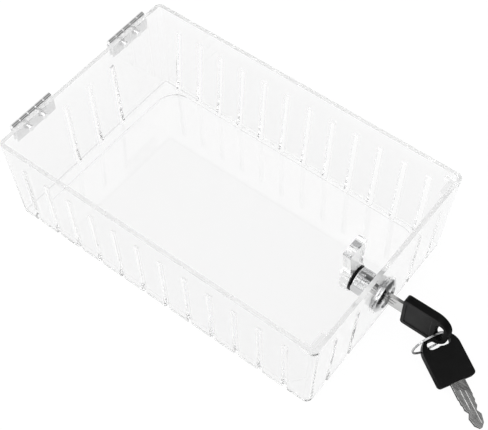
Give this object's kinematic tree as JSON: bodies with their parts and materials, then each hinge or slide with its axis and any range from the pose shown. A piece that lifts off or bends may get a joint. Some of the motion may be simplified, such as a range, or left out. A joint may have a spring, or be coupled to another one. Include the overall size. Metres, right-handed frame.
{
  "type": "lockable clear guard box",
  "caption": "Shallow clear plastic lockable guard box with vent slots, rim hinges, a cam lock and two keys on a split ring.",
  "frame": {"origin": "centre of the box's flat face, which it lies on", "axes": "+X towards the lock, -X towards the hinges, +Z from the flat face up to the open rim"},
  "size_m": [0.2885, 0.135, 0.0641],
  "materials": {
    "clear": "clear moulded",
    "steel": "bright zinc",
    "chrome": "polished",
    "brass": "plain",
    "key_metal": "nickel plated",
    "black": "moulded"
  },
  "bodies": {
    "cover": {"cover_shell": "clear", "hinge_rivets": "steel", "near_fixed_leaf": "steel", "far_fixed_leaf": "steel", "near_pin": "steel", "far_pin": "steel", "lock_housing": "chrome", "lock_nut": "chrome"},
    "near_leaf": {"near_free_leaf": "steel"},
    "far_leaf": {"far_free_leaf": "steel"},
    "plug": {"lock_plug": "chrome", "wafer_springs": "steel", "stop_washer": "black", "lock_cam": "clear", "spring_washer": "steel", "cam_screw": "steel"},
    "wafers": {"wafer_1": "brass", "wafer_2": "brass", "wafer_3": "brass", "wafer_4": "brass"},
    "key_1": {"key_1_blade": "key_metal", "key_1_head": "black"},
    "ring": {"key_ring": "chrome"},
    "key_2": {"key_2_blade": "key_metal", "key_2_head": "black"}
  },
  "joints": [
    {"name": "near_leaf_swing", "type": "hinge", "parent": "cover", "child": "near_leaf", "pos_m": [-0.10665, -0.0395, 0.0625], "axis": [0, 1, 0], "range_deg": [0, 180]},
    {"name": "far_leaf_swing", "type": "hinge", "parent": "cover", "child": "far_leaf", "pos_m": [-0.10665, 0.0395, 0.0625], "axis": [0, 1, 0], "range_deg": [0, 180]},
    {"name": "plug_turn", "type": "hinge", "parent": "cover", "child": "plug", "pos_m": [0.10436, -0.0025, 0.0326], "axis": [-1, 0, 0], "range_deg": [0, 90]},
    {"name": "key_pull", "type": "slide", "parent": "plug", "child": "key_1", "axis": [1, 0, 0], "range_m": [0, 0.02]},
    {"name": "wafer_drop", "type": "slide", "parent": "plug", "child": "wafers", "axis": [0, 0, -1], "range_m": [0, 0.0007]},
    {"name": "ring_swing", "type": "hinge", "parent": "key_1", "child": "ring", "pos_m": [0.13876, -0.0025, 0.0298], "axis": [0.3715, 0.8404, -0.3947], "range_deg": [-15, 3]},
    {"name": "spare_key_swing", "type": "hinge", "parent": "ring", "child": "key_2", "pos_m": [0.13877, 0.00217, 0.01498], "axis": [-0.3703, -0.4621, -0.8058], "range_deg": [-5, 12]}
  ],
  "couplings": [
    {"joint": "wafer_drop", "follows": "key_pull", "ratio": 0.035}
  ]
}
